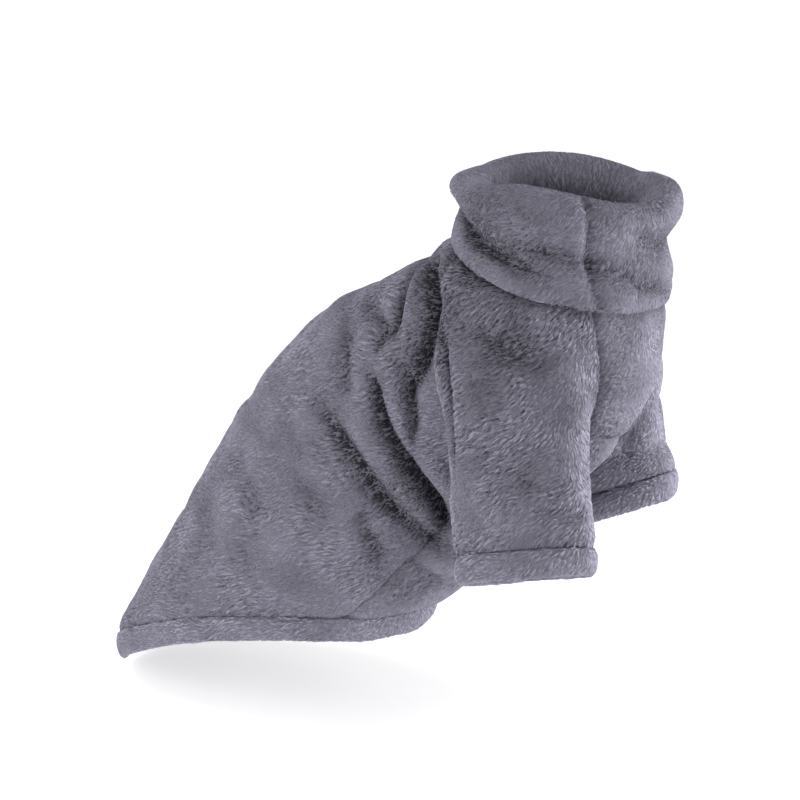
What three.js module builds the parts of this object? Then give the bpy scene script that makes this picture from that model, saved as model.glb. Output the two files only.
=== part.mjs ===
// Cat pullover in plush fleece: a raglan garment with a doubled turtleneck collar, held in the
// hollow, sitting form that it takes on its wearer. Millimetres, +Z up. The origin is the centre
// of the neckline, the wearer's chest faces -Y and the wearer's left is +X.
//
// A maker cuts a back, a chest-and-belly panel, two raglan sleeves, a collar and the strips of
// the rear hem and the two cuffs. Each is a wall of cloth of its own, and they meet at seams:
//   front raglan   neckline to armpit, sleeve to belly panel
//   back raglan    neckline to armpit, sleeve to back
//   side           armpit to rear hem, back to belly panel
//   underarm       armpit to cuff, the sleeve to itself
// The seams are lines on one torso form, so neighbours share their seam points exactly.
import * as THREE from "three";

// Driving dimensions.
const CLOTH = 3.0; // wall of plush fleece
const SEAM_GAP = 0.35; // clear space between two pieces at a seam
const BAND_DEPTH = 12.5; // of the turned rear hem and cuffs
const BAND_WALL = 5.0; // a turned band is two layers
const BAND_PROUD = 1.0; // how far a band stands out from the cloth above it
const HEM_AT = 0.955; // the torso section where the panels end and the hem band starts

// How finely the pieces are divided.
const RAGLAN_ROWS = 9; // neckline to armpit
const SIDE_ROWS = 16; // armpit to rear hem
const CUFF_ROWS = 4; // armpit to cuff
const BACK_COLUMNS = 32;
const BELLY_COLUMNS = 10;
const SLEEVE_COLUMNS = 22;
const COLLAR_COLUMNS = 34;

// Sections of the torso from the neckline to the rear hem. Each is a ring with its top on the
// back and its bottom on the belly. egg narrows the belly side, and lift raises the flanks.
const TORSO = [
  { at: 0.0, backY: 46, backZ: 12, bellyY: -46, bellyZ: -12, half: 47, egg: 0.0, lift: 0 },
  { at: 0.12, backY: 80, backZ: -11, bellyY: -44, bellyZ: -49, half: 54, egg: 0.22, lift: 0 },
  { at: 0.26, backY: 120, backZ: -37, bellyY: -22, bellyZ: -85, half: 59, egg: 0.48, lift: 0 },
  { at: 0.42, backY: 158, backZ: -71, bellyY: 12, bellyZ: -115, half: 62, egg: 0.46, lift: 0 },
  { at: 0.58, backY: 188, backZ: -112, bellyY: 36, bellyZ: -141, half: 63, egg: 0.3, lift: 2 },
  { at: 0.75, backY: 219, backZ: -160, bellyY: 56, bellyZ: -160, half: 63, egg: 0.2, lift: 6 },
  { at: 0.9, backY: 244, backZ: -202, bellyY: 71, bellyZ: -171, half: 63, egg: 0.12, lift: 13 },
  { at: 0.955, backY: 253, backZ: -219, bellyY: 76, bellyZ: -175, half: 63, egg: 0.1, lift: 16 },
  { at: 1.0, backY: 252, backZ: -236, bellyY: 79, bellyZ: -181, half: 62, egg: 0.1, lift: 17 },
];

// The seams on the torso form. along runs from the seam's upper end to its lower one, and turn
// is the angle round the ring from the middle of the back.
const BACK_RAGLAN = [
  { along: 0.0, at: 0.0, turn: 46 },
  { along: 0.25, at: 0.05, turn: 61 },
  { along: 0.5, at: 0.12, turn: 84 },
  { along: 0.75, at: 0.21, turn: 113 },
  { along: 1.0, at: 0.33, turn: 144 },
];
const FRONT_RAGLAN = [
  { along: 0.0, at: 0.0, turn: 143 },
  { along: 0.25, at: 0.08, turn: 148 },
  { along: 0.5, at: 0.17, turn: 151 },
  { along: 0.75, at: 0.26, turn: 149 },
  { along: 1.0, at: 0.33, turn: 144 },
];
const SIDE_SEAM = [
  { along: 0.0, at: 0.33, turn: 144 },
  { along: 0.35, at: 0.52, turn: 138 },
  { along: 0.7, at: 0.76, turn: 139 },
  { along: 1.0, at: HEM_AT, turn: 143 },
];

// The largest folds, as troughs that run from the back round to the armpits and the belly. A
// turn below zero is on the right side. width is the reach of a trough's side.
const FOLDS = [
  { at0: 0.225, turn0: -64, at1: 0.31, turn1: -90, at2: 0.41, turn2: -126, depth: 6.5, width: 8 },
  { at0: 0.34, turn0: -48, at1: 0.4, turn1: -92, at2: 0.49, turn2: -130, depth: 4.5, width: 10 },
  { at0: 0.05, turn0: -56, at1: 0.135, turn1: -78, at2: 0.27, turn2: -95, depth: 5, width: 8 },
  { at0: 0.07, turn0: -28, at1: 0.13, turn1: -56, at2: 0.19, turn2: -69, depth: 3.5, width: 8 },
  { at0: 0.2, turn0: -26, at1: 0.25, turn1: -56, at2: 0.31, turn2: -73, depth: 2.5, width: 9 },
  { at0: 0.48, turn0: -102, at1: 0.57, turn1: -121, at2: 0.66, turn2: -133, depth: 3, width: 9 },
  { at0: 0.5, turn0: -48, at1: 0.57, turn1: -74, at2: 0.67, turn2: -94, depth: 2.5, width: 11 },
  { at0: 0.21, turn0: 58, at1: 0.3, turn1: 88, at2: 0.4, turn2: 122, depth: 6, width: 9 },
  { at0: 0.33, turn0: 42, at1: 0.41, turn1: 84, at2: 0.5, turn2: 127, depth: 4.5, width: 10 },
  { at0: 0.07, turn0: 54, at1: 0.15, turn1: 76, at2: 0.26, turn2: 97, depth: 4.5, width: 8 },
  { at0: 0.08, turn0: 22, at1: 0.13, turn1: 46, at2: 0.2, turn2: 62, depth: 3, width: 9 },
  { at0: 0.46, turn0: 96, at1: 0.56, turn1: 116, at2: 0.65, turn2: 131, depth: 3, width: 10 },
  { at0: 0.53, turn0: 42, at1: 0.61, turn1: 70, at2: 0.71, turn2: 96, depth: 2.5, width: 12 },
];
const FOLD_STEPS = 12; // points that stand for a fold's curve
const FADE_END = 0.04; // how near to its very end a fold keeps its last depth, as a share
const LENGTH_PER_AT = 330; // what a step of one in at is, along the torso
const GIRTH_RADIUS = 62; // what a turn of one radian is, round the torso

// Sections of each sleeve, at the armpit and the cuff: the centre, the half sizes across and
// fore-and-aft, and how far the ring's front (tilt) and outer side (roll) are raised.
const SLEEVES = {
  right: [
    { at: 0.0, x: 41, y: -8, z: -97, across: 22, fore: 34, tilt: 5, roll: 4 },
    { at: 1.0, x: 42, y: -9, z: -118, across: 22, fore: 34, tilt: 9, roll: 5 },
  ],
  left: [
    { at: 0.0, x: 40, y: -2, z: -93, across: 19, fore: 24, tilt: 7, roll: 0 },
    { at: 1.0, x: 39, y: -5, z: -108, across: 20, fore: 28, tilt: 12, roll: 0 },
  ],
};
const UNDERARM_TURN = -45; // where a sleeve's ring closes, as an angle from its inner side
const CAP_EASE = 2.2; // how soon a sleeve's cap lets go of the line of its seams
const SHIFT_EASE = 4; // the same for the ring's pull towards the armpit
// A soft hollow down the outside of each sleeve's cap, slanting forwards.
const CAP_HOLLOW = { down: 0.42, slant: 0.35, round: 0.52, depth: 2.5, reach: 0.13, width: 0.16 };

// The collar is one band folded double at the rim. The rim is a level ring, and the section goes
// up the outside, over the fold, down the inside, and up and down the slit between the layers.
// up is a share of the way from neckline to rim, and out is from the straight side.
const RIM = { x: 1, y: -2, z: 41.5, across: 46, fore: 45, tilt: -2 };
const COLLAR_SECTION = [
  { up: 0.0, out: 0.0 },
  { up: 0.08, out: 2.2 },
  { up: 0.22, out: 3.0 },
  { up: 0.4, out: 0.4 },
  { up: 0.55, out: 2.2 },
  { up: 0.75, out: 4.4 },
  { up: 0.92, out: 2.6 },
  { up: 1.0, out: -3.0 },
  { up: 0.95, out: -8.0 },
  { up: 0.8, out: -9.0 },
  { up: 0.4, out: -8.0 },
  { up: 0.0, out: -7.2 },
  { up: 0.0, out: -4.0 },
  { up: 0.4, out: -4.8 },
  { up: 0.8, out: -5.6 },
  { up: 0.88, out: -3.0 },
  { up: 0.76, out: 1.2 },
  { up: 0.55, out: -1.0 },
  { up: 0.4, out: -2.8 },
  { up: 0.22, out: -0.2 },
  { up: 0.0, out: -3.2 },
];

// The section of a turned band, as shares of its depth down and of its wall inwards.
const BAND_SECTION = [
  { down: 0.0, inward: 0.3 },
  { down: 0.12, inward: 0.05 },
  { down: 0.5, inward: 0.0 },
  { down: 0.85, inward: 0.12 },
  { down: 1.0, inward: 0.5 },
  { down: 0.85, inward: 0.9 },
  { down: 0.5, inward: 1.0 },
  { down: 0.0, inward: 0.85 },
];

const NORMAL_PASSES = 2; // rounds of softening of the walls' normals
const SAME_PLACE = 0.01; // edge points of two pieces that agree to this are one seam point
const NECKLINE_UP = new THREE.Vector3(0, -TORSO[0].backZ, TORSO[0].backY).normalize();

const fleece = () =>
  new THREE.MeshStandardMaterial({ color: 0x716f7b, roughness: 0.95, metalness: 0 });

const radians = (degrees) => (degrees * Math.PI) / 180;
const HEM_TURN = radians(SIDE_SEAM[SIDE_SEAM.length - 1].turn);
const mix = (a, b, t) => a + (b - a) * t;
const clamp = (x, low, high) => Math.min(high, Math.max(low, x));
const bell = (x) => Math.exp(-x * x);
// A parabola through a, b and c, which it meets at shares of 0, 1/2 and 1.
const arc = (a, b, c, share) => a + (4 * b - 3 * a - c) * share + 2 * (a - 2 * b + c) * share ** 2;

// A named column of a table at any value of its key column, on a smooth curve through the rows.
function column(table, key, name, x) {
  const last = table.length - 1;
  let i = 0;
  while (i < last - 1 && x > table[i + 1][key]) i++;
  const slope = (k) => {
    const a = table[Math.max(k - 1, 0)];
    const b = table[Math.min(k + 1, last)];
    return (b[name] - a[name]) / (b[key] - a[key]);
  };
  const span = table[i + 1][key] - table[i][key];
  const t = clamp((x - table[i][key]) / span, 0, 1);
  const blend = t * t * (3 - 2 * t);
  const rise = span * t * (1 - t) * ((1 - t) * slope(i) - t * slope(i + 1));
  return mix(table[i][name], table[i + 1][name], blend) + rise;
}

// A point of the smooth torso form. turn is in radians from the back, below zero on the right.
function formPoint(at, turn) {
  const value = (name) => column(TORSO, "at", name, at);
  const s = Math.sin(turn);
  const backShare = (1 + Math.cos(turn)) / 2;
  return new THREE.Vector3(
    value("half") * s * (1 - value("egg") * (1 - backShare)),
    mix(value("bellyY"), value("backY"), backShare),
    mix(value("bellyZ"), value("backZ"), backShare) + value("lift") * s * s,
  );
}

// How deep the folds press the cloth in at a place. A fold fades towards its two ends.
function foldDepth(at, turn) {
  let depth = 0;
  for (const fold of FOLDS) {
    let nearest = { distance: Infinity, share: 0 };
    for (let step = 0; step <= FOLD_STEPS; step++) {
      const share = step / FOLD_STEPS;
      const foldTurn = radians(arc(fold.turn0, fold.turn1, fold.turn2, share));
      const along = (at - arc(fold.at0, fold.at1, fold.at2, share)) * LENGTH_PER_AT;
      const distance = Math.hypot(along, (turn - foldTurn) * GIRTH_RADIUS);
      if (distance < nearest.distance) nearest = { distance, share };
    }
    const fade = Math.sin(Math.PI * clamp(nearest.share, FADE_END, 1 - FADE_END));
    depth += fold.depth * fade * bell(nearest.distance / fold.width);
  }
  return depth;
}

// A point of the torso with its folds. An angle past half a turn comes back from the other side.
function torsoPoint(at, turn) {
  const point = formPoint(at, turn);
  const centre = formPoint(at, 0).lerp(formPoint(at, Math.PI), 0.5);
  const nearTurn = turn > Math.PI ? turn - 2 * Math.PI : turn;
  const inward = centre.sub(point).normalize();
  return point.addScaledVector(inward, foldDepth(at, nearTurn));
}

// Where a seam runs on the torso form: its section, and its angle in radians.
function seamPlace(seam, along) {
  return {
    at: column(seam, "along", "at", along),
    turn: radians(column(seam, "along", "turn", along)),
  };
}

function seamPoint(seam, along, side) {
  const { at, turn } = seamPlace(seam, along);
  return torsoPoint(at, side * turn);
}

// Grids of points, grid[j][i], with row j from the neckline down and column i across.
function makeGrid(rows, columns, pointAt) {
  return Array.from({ length: rows + 1 }, (_, j) =>
    Array.from({ length: columns + 1 }, (_, i) => pointAt(i / columns, j)),
  );
}

// A panel's edge follows a raglan seam to the armpit and then the side seam to the hem.
function panelEdge(raglan, j) {
  if (j <= RAGLAN_ROWS) return seamPlace(raglan, j / RAGLAN_ROWS);
  return seamPlace(SIDE_SEAM, (j - RAGLAN_ROWS) / SIDE_ROWS);
}

function backGrid() {
  return makeGrid(RAGLAN_ROWS + SIDE_ROWS, BACK_COLUMNS, (u, j) => {
    const edge = panelEdge(BACK_RAGLAN, j);
    return torsoPoint(edge.at, mix(-edge.turn, edge.turn, u));
  });
}

function bellyGrid() {
  return makeGrid(RAGLAN_ROWS + SIDE_ROWS, BELLY_COLUMNS, (u, j) => {
    const edge = panelEdge(FRONT_RAGLAN, j);
    return torsoPoint(edge.at, mix(edge.turn, 2 * Math.PI - edge.turn, u));
  });
}

// A point of a sleeve's ring. u runs from the underarm seam over the front and the outside, and
// back to that seam.
function sleeveRing(name, side, at, u) {
  const value = (key) => column(SLEEVES[name], "at", key, at);
  const angle = radians(UNDERARM_TURN + 360 * u);
  const forward = Math.sin(angle);
  const outward = -Math.cos(angle);
  return new THREE.Vector3(
    side * (value("x") + value("across") * outward),
    value("y") - value("fore") * forward,
    value("z") + value("tilt") * forward + value("roll") * outward,
  );
}

// From the neckline to the armpit a sleeve spans its two raglan seams, and below it is a tube.
function sleeveGrid(name, side) {
  const armpit = seamPoint(FRONT_RAGLAN, 1, side);
  const frontTop = seamPoint(FRONT_RAGLAN, 0, side);
  const backTop = seamPoint(BACK_RAGLAN, 0, side);
  const shift = armpit.clone().sub(sleeveRing(name, side, 0, 0));
  const tube = (at, u) => {
    const pull = (1 - at) * Math.pow(Math.abs(2 * u - 1), SHIFT_EASE);
    return sleeveRing(name, side, at, u).addScaledVector(shift, pull);
  };
  const offLine = (seam, top, t) =>
    seamPoint(seam, t, side).sub(top.clone().lerp(armpit, t));
  return makeGrid(RAGLAN_ROWS + CUFF_ROWS, SLEEVE_COLUMNS, (u, j) => {
    if (j > RAGLAN_ROWS) return tube((j - RAGLAN_ROWS) / CUFF_ROWS, u);
    const t = j / RAGLAN_ROWS;
    const turn = radians(mix(FRONT_RAGLAN[0].turn, BACK_RAGLAN[0].turn, u));
    const line = CAP_HOLLOW.down + CAP_HOLLOW.slant * (CAP_HOLLOW.round - u);
    const hollow =
      CAP_HOLLOW.depth *
      bell((t - line) / CAP_HOLLOW.reach) *
      bell((u - CAP_HOLLOW.round) / CAP_HOLLOW.width);
    return torsoPoint(0, side * turn)
      .lerp(tube(0, u), t)
      .addScaledVector(offLine(FRONT_RAGLAN, frontTop, t), Math.pow(1 - u, CAP_EASE))
      .addScaledVector(offLine(BACK_RAGLAN, backTop, t), Math.pow(u, CAP_EASE))
      .add(new THREE.Vector3(-side * hollow, 0, 0));
  });
}

// The normal at each point of a grid, from its neighbours. side is 1 or -1, to face outwards.
function gridNormals(grid, side) {
  const lastRow = grid.length - 1;
  const lastColumn = grid[0].length - 1;
  return grid.map((row, j) =>
    row.map((_, i) => {
      const across = row[Math.min(i + 1, lastColumn)].clone().sub(row[Math.max(i - 1, 0)]);
      const down = grid[Math.min(j + 1, lastRow)][i].clone().sub(grid[Math.max(j - 1, 0)][i]);
      return across.cross(down).normalize().multiplyScalar(side);
    }),
  );
}

// Pieces that meet at a seam share their normals there, so that their edges lie face to face.
function shareSeamNormals(sheets) {
  const sums = new Map();
  const place = (point) => point.toArray().map((v) => Math.round(v / SAME_PLACE)).join();
  const eachEdgePoint = (visit) => {
    for (const { grid, normals } of sheets)
      grid.forEach((row, j) =>
        row.forEach((point, i) => {
          const onEnd = j === 0 || j === grid.length - 1;
          if (onEnd || i === 0 || i === row.length - 1) visit(place(point), normals[j], i);
        }),
      );
  };
  eachEdgePoint((key, row, i) => {
    sums.set(key, (sums.get(key) ?? new THREE.Vector3()).add(row[i]));
  });
  eachEdgePoint((key, row, i) => {
    row[i] = sums.get(key).clone().normalize();
  });
}

// Each normal inside a sheet leans towards its neighbours, so that the wall's inner face turns
// gently into a seam.
function softenNormals(normals) {
  const lastRow = normals.length - 1;
  const lastColumn = normals[0].length - 1;
  return normals.map((row, j) =>
    row.map((normal, i) => {
      if (j === 0 || j === lastRow || i === 0 || i === lastColumn) return normal;
      const around = [row[i - 1], row[i + 1], normals[j - 1][i], normals[j + 1][i]];
      return around.reduce((sum, n) => sum.add(n), normal.clone()).normalize();
    }),
  );
}

const quad = (a, b, c, d) => [
  [a, b, c],
  [a, c, d],
];

// A closed mesh. The faces may be given inside out: they are turned to face outwards.
function solid(name, points, faces) {
  const volume = faces.reduce(
    (sum, [a, b, c]) => sum + points[a].dot(points[b].clone().cross(points[c])),
    0,
  );
  const turned = volume < 0 ? faces.map(([a, b, c]) => [a, c, b]) : faces;
  const geometry = new THREE.BufferGeometry();
  const positions = points.flatMap((p) => p.toArray());
  geometry.setAttribute("position", new THREE.Float32BufferAttribute(positions, 3));
  geometry.setIndex(turned.flat());
  geometry.computeVertexNormals();
  const mesh = new THREE.Mesh(geometry, fleece());
  mesh.name = name;
  return mesh;
}

// A wall of cloth. The grid is its outer face, drawn in a little at every edge for the seam, and
// its inner face lies one cloth inside.
function clothWall(name, { grid, normals }) {
  const lastRow = grid.length - 1;
  const lastColumn = grid[0].length - 1;
  const outer = grid.map((row, j) =>
    row.map((point, i) => {
      const made = point.clone();
      const drawIn = (behind, ahead, inside) => {
        const inwards = ahead.clone().sub(behind).cross(normals[j][i]).setLength(SEAM_GAP / 2);
        made.addScaledVector(inwards, Math.sign(inwards.dot(inside.clone().sub(point))));
      };
      const [above, below] = [grid[Math.max(j - 1, 0)][i], grid[Math.min(j + 1, lastRow)][i]];
      const [before, after] = [row[Math.max(i - 1, 0)], row[Math.min(i + 1, lastColumn)]];
      if (i === 0 || i === lastColumn) drawIn(above, below, row[clamp(i, 1, lastColumn - 1)]);
      if (j === 0 || j === lastRow) drawIn(before, after, grid[clamp(j, 1, lastRow - 1)][i]);
      return made;
    }),
  );
  const inner = outer.map((row, j) =>
    row.map((point, i) => point.clone().addScaledVector(normals[j][i], -CLOTH)),
  );
  const out = (j, i) => j * (lastColumn + 1) + i;
  const inn = (j, i) => (lastRow + 1) * (lastColumn + 1) + out(j, i);
  const faces = [];
  for (let j = 0; j < lastRow; j++)
    for (let i = 0; i < lastColumn; i++) {
      faces.push(...quad(out(j, i), out(j, i + 1), out(j + 1, i + 1), out(j + 1, i)));
      faces.push(...quad(inn(j, i), inn(j + 1, i), inn(j + 1, i + 1), inn(j, i + 1)));
    }
  for (let j = 0; j < lastRow; j++) {
    const [a, b] = [out(j, lastColumn), inn(j, lastColumn)];
    faces.push(...quad(out(j, 0), out(j + 1, 0), inn(j + 1, 0), inn(j, 0)));
    faces.push(...quad(a, b, inn(j + 1, lastColumn), out(j + 1, lastColumn)));
  }
  for (let i = 0; i < lastColumn; i++) {
    const [a, b] = [out(lastRow, i), out(lastRow, i + 1)];
    faces.push(...quad(out(0, i), inn(0, i), inn(0, i + 1), out(0, i + 1)));
    faces.push(...quad(a, b, inn(lastRow, i + 1), inn(lastRow, i)));
  }
  return solid(name, [...outer.flat(), ...inner.flat()], faces);
}

// A closed ring, from the closed section at each step round it.
function sweptRing(name, sections) {
  const size = sections[0].length;
  const vertex = (k, m) => (k % sections.length) * size + (m % size);
  const faces = sections.flatMap((section, k) =>
    section.flatMap((_, m) =>
      quad(vertex(k, m), vertex(k + 1, m), vertex(k + 1, m + 1), vertex(k, m + 1)),
    ),
  );
  return solid(name, sections.flat(), faces);
}

// A turned band that hangs from a ring of edge points, square to the cloth that it continues.
function bandRing(name, edge) {
  const sections = edge.map(({ point, normal, down }) =>
    BAND_SECTION.map((row) =>
      point
        .clone()
        .addScaledVector(down, SEAM_GAP / 2 + row.down * BAND_DEPTH)
        .addScaledVector(normal, BAND_PROUD - row.inward * BAND_WALL),
    ),
  );
  return sweptRing(name, sections);
}

// The lower edge of a sheet. downAt gives the band's way down from a point of it.
function lowerEdge({ grid, normals }, downAt) {
  const last = grid.length - 1;
  return grid[last].map((point, i) => ({
    point,
    normal: normals[last][i],
    down: downAt(point, i / (grid[last].length - 1)).normalize(),
  }));
}

function rearHemBand(back, belly) {
  const backEdge = lowerEdge(back, (point, u) =>
    torsoPoint(1, mix(-HEM_TURN, HEM_TURN, u)).sub(point),
  );
  const bellyEdge = lowerEdge(belly, (point, u) =>
    torsoPoint(1, mix(HEM_TURN, 2 * Math.PI - HEM_TURN, u)).sub(point),
  );
  return bandRing("rear_hem_band", [...backEdge, ...bellyEdge.slice(1, -1)]);
}

function cuffBand(name, sleeve) {
  const edge = lowerEdge(sleeve, () => new THREE.Vector3(0, 0, -1));
  return bandRing(name, edge.slice(0, -1));
}

function collar() {
  const sections = Array.from({ length: COLLAR_COLUMNS }, (_, k) => {
    const turn = (2 * Math.PI * k) / COLLAR_COLUMNS;
    const s = Math.sin(turn);
    const c = Math.cos(turn);
    const neckline = torsoPoint(0, turn);
    const alongPlane = neckline.clone().normalize();
    const level = new THREE.Vector3(s, c, 0);
    const base = neckline.clone().addScaledVector(NECKLINE_UP, SEAM_GAP / 2);
    const rim = new THREE.Vector3(
      RIM.x + RIM.across * s,
      RIM.y + RIM.fore * c,
      RIM.z - RIM.tilt * c,
    );
    return COLLAR_SECTION.map((row) => {
      const out = alongPlane.clone().lerp(level, row.up);
      return base.clone().lerp(rim, row.up).addScaledVector(out, row.out);
    });
  });
  return sweptRing("collar", sections);
}

const sheets = {
  back_panel: { grid: backGrid(), facing: 1 },
  belly_panel: { grid: bellyGrid(), facing: 1 },
  sleeve_right: { grid: sleeveGrid("right", -1), facing: 1 },
  sleeve_left: { grid: sleeveGrid("left", 1), facing: -1 },
};
for (const sheet of Object.values(sheets)) {
  sheet.normals = gridNormals(sheet.grid, sheet.facing);
  // The neckline is a flat ring about the origin, and the cloth meets the collar square to it.
  sheet.normals[0] = sheet.grid[0].map((point) => point.clone().normalize());
}
shareSeamNormals(Object.values(sheets));
for (const sheet of Object.values(sheets))
  for (let pass = 0; pass < NORMAL_PASSES; pass++) sheet.normals = softenNormals(sheet.normals);

const pullover = new THREE.Group();
for (const [name, sheet] of Object.entries(sheets)) pullover.add(clothWall(name, sheet));
pullover.add(rearHemBand(sheets.back_panel, sheets.belly_panel));
pullover.add(cuffBand("cuff_band_right", sheets.sleeve_right));
pullover.add(cuffBand("cuff_band_left", sheets.sleeve_left));
pullover.add(collar());

export default pullover;
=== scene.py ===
"""The cat pullover's looks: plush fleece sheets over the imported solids, with a pile of small
tufts. Metres, +Z up. The neckline's centre is the origin, the chest faces -Y, and +X is the
wearer's left. A turn is an angle round the torso from the middle of the back, below zero on
the right, and at runs from 0 at the neckline to 1 at the rear hem. Tables give turns in degrees
and functions take them in radians."""

from math import cos, pi, radians, sin

import bpy
import numpy as np
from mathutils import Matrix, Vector


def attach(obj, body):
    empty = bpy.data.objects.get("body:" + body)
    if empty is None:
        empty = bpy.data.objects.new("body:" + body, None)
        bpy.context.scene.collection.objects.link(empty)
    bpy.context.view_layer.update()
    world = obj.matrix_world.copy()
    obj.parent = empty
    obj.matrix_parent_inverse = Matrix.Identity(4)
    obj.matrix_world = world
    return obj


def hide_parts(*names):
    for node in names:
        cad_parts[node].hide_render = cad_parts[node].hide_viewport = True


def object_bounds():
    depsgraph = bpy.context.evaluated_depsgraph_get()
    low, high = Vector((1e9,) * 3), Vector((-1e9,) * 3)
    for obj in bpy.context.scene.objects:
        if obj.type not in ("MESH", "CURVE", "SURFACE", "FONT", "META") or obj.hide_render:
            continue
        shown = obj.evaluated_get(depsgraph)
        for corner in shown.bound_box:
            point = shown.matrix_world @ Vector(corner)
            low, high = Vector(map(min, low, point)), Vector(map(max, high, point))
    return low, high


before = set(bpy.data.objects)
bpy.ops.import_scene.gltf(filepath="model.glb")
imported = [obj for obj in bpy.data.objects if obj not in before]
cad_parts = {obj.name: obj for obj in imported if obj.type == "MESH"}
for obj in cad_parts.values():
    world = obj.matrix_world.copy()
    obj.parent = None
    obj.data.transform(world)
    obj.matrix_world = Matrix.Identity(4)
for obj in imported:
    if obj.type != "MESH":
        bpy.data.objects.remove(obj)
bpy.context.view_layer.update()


def table(names, *rows):
    """A table with named columns, as one array for each of them, in their order."""
    return dict(zip(names.split(), np.array(rows, float).T))


# ---- the form, as its solids have it ------------------------------------------------------

CLOTH = 0.003  # wall of plush fleece
SEAM_GAP = 0.00035
BAND_DEPTH = 0.0125
BAND_WALL = 0.0055
BAND_PROUD = 0.0006
HEM_AT = 0.955
TAIL_TUCK = 0.28  # how much less deep the hem is at the tail
TAIL_WIDE = 0.4  # the turn within which it is so

# The torso, down to the hem band's lower edge: the middle lines of its back and its belly, half
# its width, how much narrower the belly's side is, and how far its two sides are lifted.
TORSO = table(
    "at back_y back_z belly_y belly_z half egg lift",
    (0.000, 0.046, 0.012, -0.046, -0.012, 0.047, 0.00, 0.000),
    (0.120, 0.080, -0.011, -0.044, -0.049, 0.054, 0.22, 0.000),
    (0.260, 0.120, -0.037, -0.022, -0.085, 0.059, 0.48, 0.000),
    (0.420, 0.158, -0.071, 0.012, -0.115, 0.062, 0.46, 0.000),
    (0.580, 0.188, -0.112, 0.036, -0.141, 0.063, 0.30, 0.002),
    (0.750, 0.219, -0.160, 0.056, -0.160, 0.063, 0.20, 0.006),
    (0.900, 0.244, -0.202, 0.071, -0.171, 0.063, 0.12, 0.013),
    (0.955, 0.253, -0.219, 0.076, -0.175, 0.063, 0.10, 0.016),
    (1.000, 0.252, -0.236, 0.079, -0.181, 0.062, 0.10, 0.017),
)
# The left side's seams. The right side's are their mirror.
BACK_RAGLAN = table(
    "along at turn",
    (0.00, 0.00, 46),
    (0.25, 0.05, 61),
    (0.50, 0.12, 84),
    (0.75, 0.21, 113),
    (1.00, 0.33, 144),
)
FRONT_RAGLAN = table(
    "along at turn",
    (0.00, 0.00, 143),
    (0.25, 0.08, 148),
    (0.50, 0.17, 151),
    (0.75, 0.26, 149),
    (1.00, 0.33, 144),
)
SIDE_SEAM = table(
    "along at turn",
    (0.00, 0.33, 144),
    (0.35, 0.52, 138),
    (0.70, 0.76, 139),
    (1.00, HEM_AT, 143),
)
# Each sleeve's ring at the armpit, 0, and at the cuff, 1: its middle, half its width and half its
# depth, and how far it rises to the front and to the outside. -1 is the right side.
SLEEVES = {
    -1: table(
        "at x y z across fore tilt roll",
        (0, 0.041, -0.008, -0.097, 0.022, 0.034, 0.005, 0.004),
        (1, 0.0405, -0.0115, -0.118, 0.022, 0.034, 0.009, 0.005),
    ),
    1: table(
        "at x y z across fore tilt roll",
        (0, 0.040, -0.002, -0.093, 0.019, 0.024, 0.007, 0.000),
        (1, 0.039, -0.005, -0.108, 0.020, 0.028, 0.012, 0.000),
    ),
}
UNDERARM_TURN = -45  # where the underarm seam runs on a sleeve's ring
CAP_EASE = 2.2  # how closely a sleeve's sides keep to the raglan seams
SHIFT_EASE = 4  # how soon its ring leaves the armpit
DOWN_PER_AT = 3  # a sleeve's armpit is a third of the way down the body
# The collar's rim: its middle, half its width and half its depth, and its tilt.
RIM = {"x": 0.001, "y": -0.002, "z": 0.0415, "across": 0.046, "fore": 0.045, "tilt": -0.002}
# The collar's closed section: up its outer wall, over the rim and down inside, then between its
# two layers and down behind the outer wall.
COLLAR_SECTION = table(
    "up out",
    (-0.006, -0.0012),
    (-0.022, -0.0004),
    (-0.010, 0.0010),
    (0.06, 0.0018),
    (0.19, 0.0015),
    (0.38, 0.0002),
    (0.55, 0.0014),
    (0.75, 0.0040),
    (0.92, 0.0020),
    (1.00, -0.0036),
    (0.95, -0.0085),
    (0.80, -0.0125),
    (0.55, -0.0150),
    (0.30, -0.0130),
    (0.00, -0.0072),
    (0.00, -0.0040),
    (0.30, -0.0098),
    (0.55, -0.0118),
    (0.80, -0.0090),
    (0.90, -0.0036),
    (0.76, 0.0008),
    (0.55, -0.0016),
    (0.40, -0.0026),
    (0.20, -0.0014),
    (0.07, -0.0012),
    (0.00, -0.0026),
)
COLLAR_OUTSIDE = 10  # rows of the section from its lower edge to the rim
COLLAR_INSIDE = 14  # the row where its inner wall ends
COLLAR_CAVITY = 20  # the row where the outer wall's hidden side starts
COLLAR_DARK = 0.45  # how much painted shade darkens the pile deep inside
DARK_ROWS = 2  # the rows in which that shade comes
RIM_HIGHLIGHT = 0.24  # how much painted highlight lightens the pile along the rim
LIGHT_ROWS = 1.4  # how many rows wide that is
COLLAR_PAINTED_SHADE = table(  # patches of painted shade on the collar's pile, and one of painted highlight on the rim's left
    "turn row wide tall dark",
    (-78, 5.8, 32, 2.3, 0.38),
    (-158, 5.5, 34, 2.6, 0.15),
    (-48, 9.8, 22, 1.2, -0.30),
)
# How the section changes round the collar: its lower edge's droop, and the rim's dip.
COLLAR_ROUND = table(
    "turn droop dip",
    (-180, 0.3, 0.150),
    (-165, 0.6, 0.130),
    (-147, 1.3, 0.085),
    (-125, 1.0, 0.020),
    (-95, 1.0, -0.010),
    (-75, 1.1, 0.030),
    (-50, 0.2, 0.100),
    (-20, 0.6, 0.140),
    (0, 0.7, 0.130),
    (30, 0.9, 0.040),
    (70, 0.5, 0.045),
    (100, 0.9, 0.130),
    (118, 1.2, 0.100),
    (145, 1.5, 0.060),
    (180, 0.3, 0.150),
)
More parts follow.
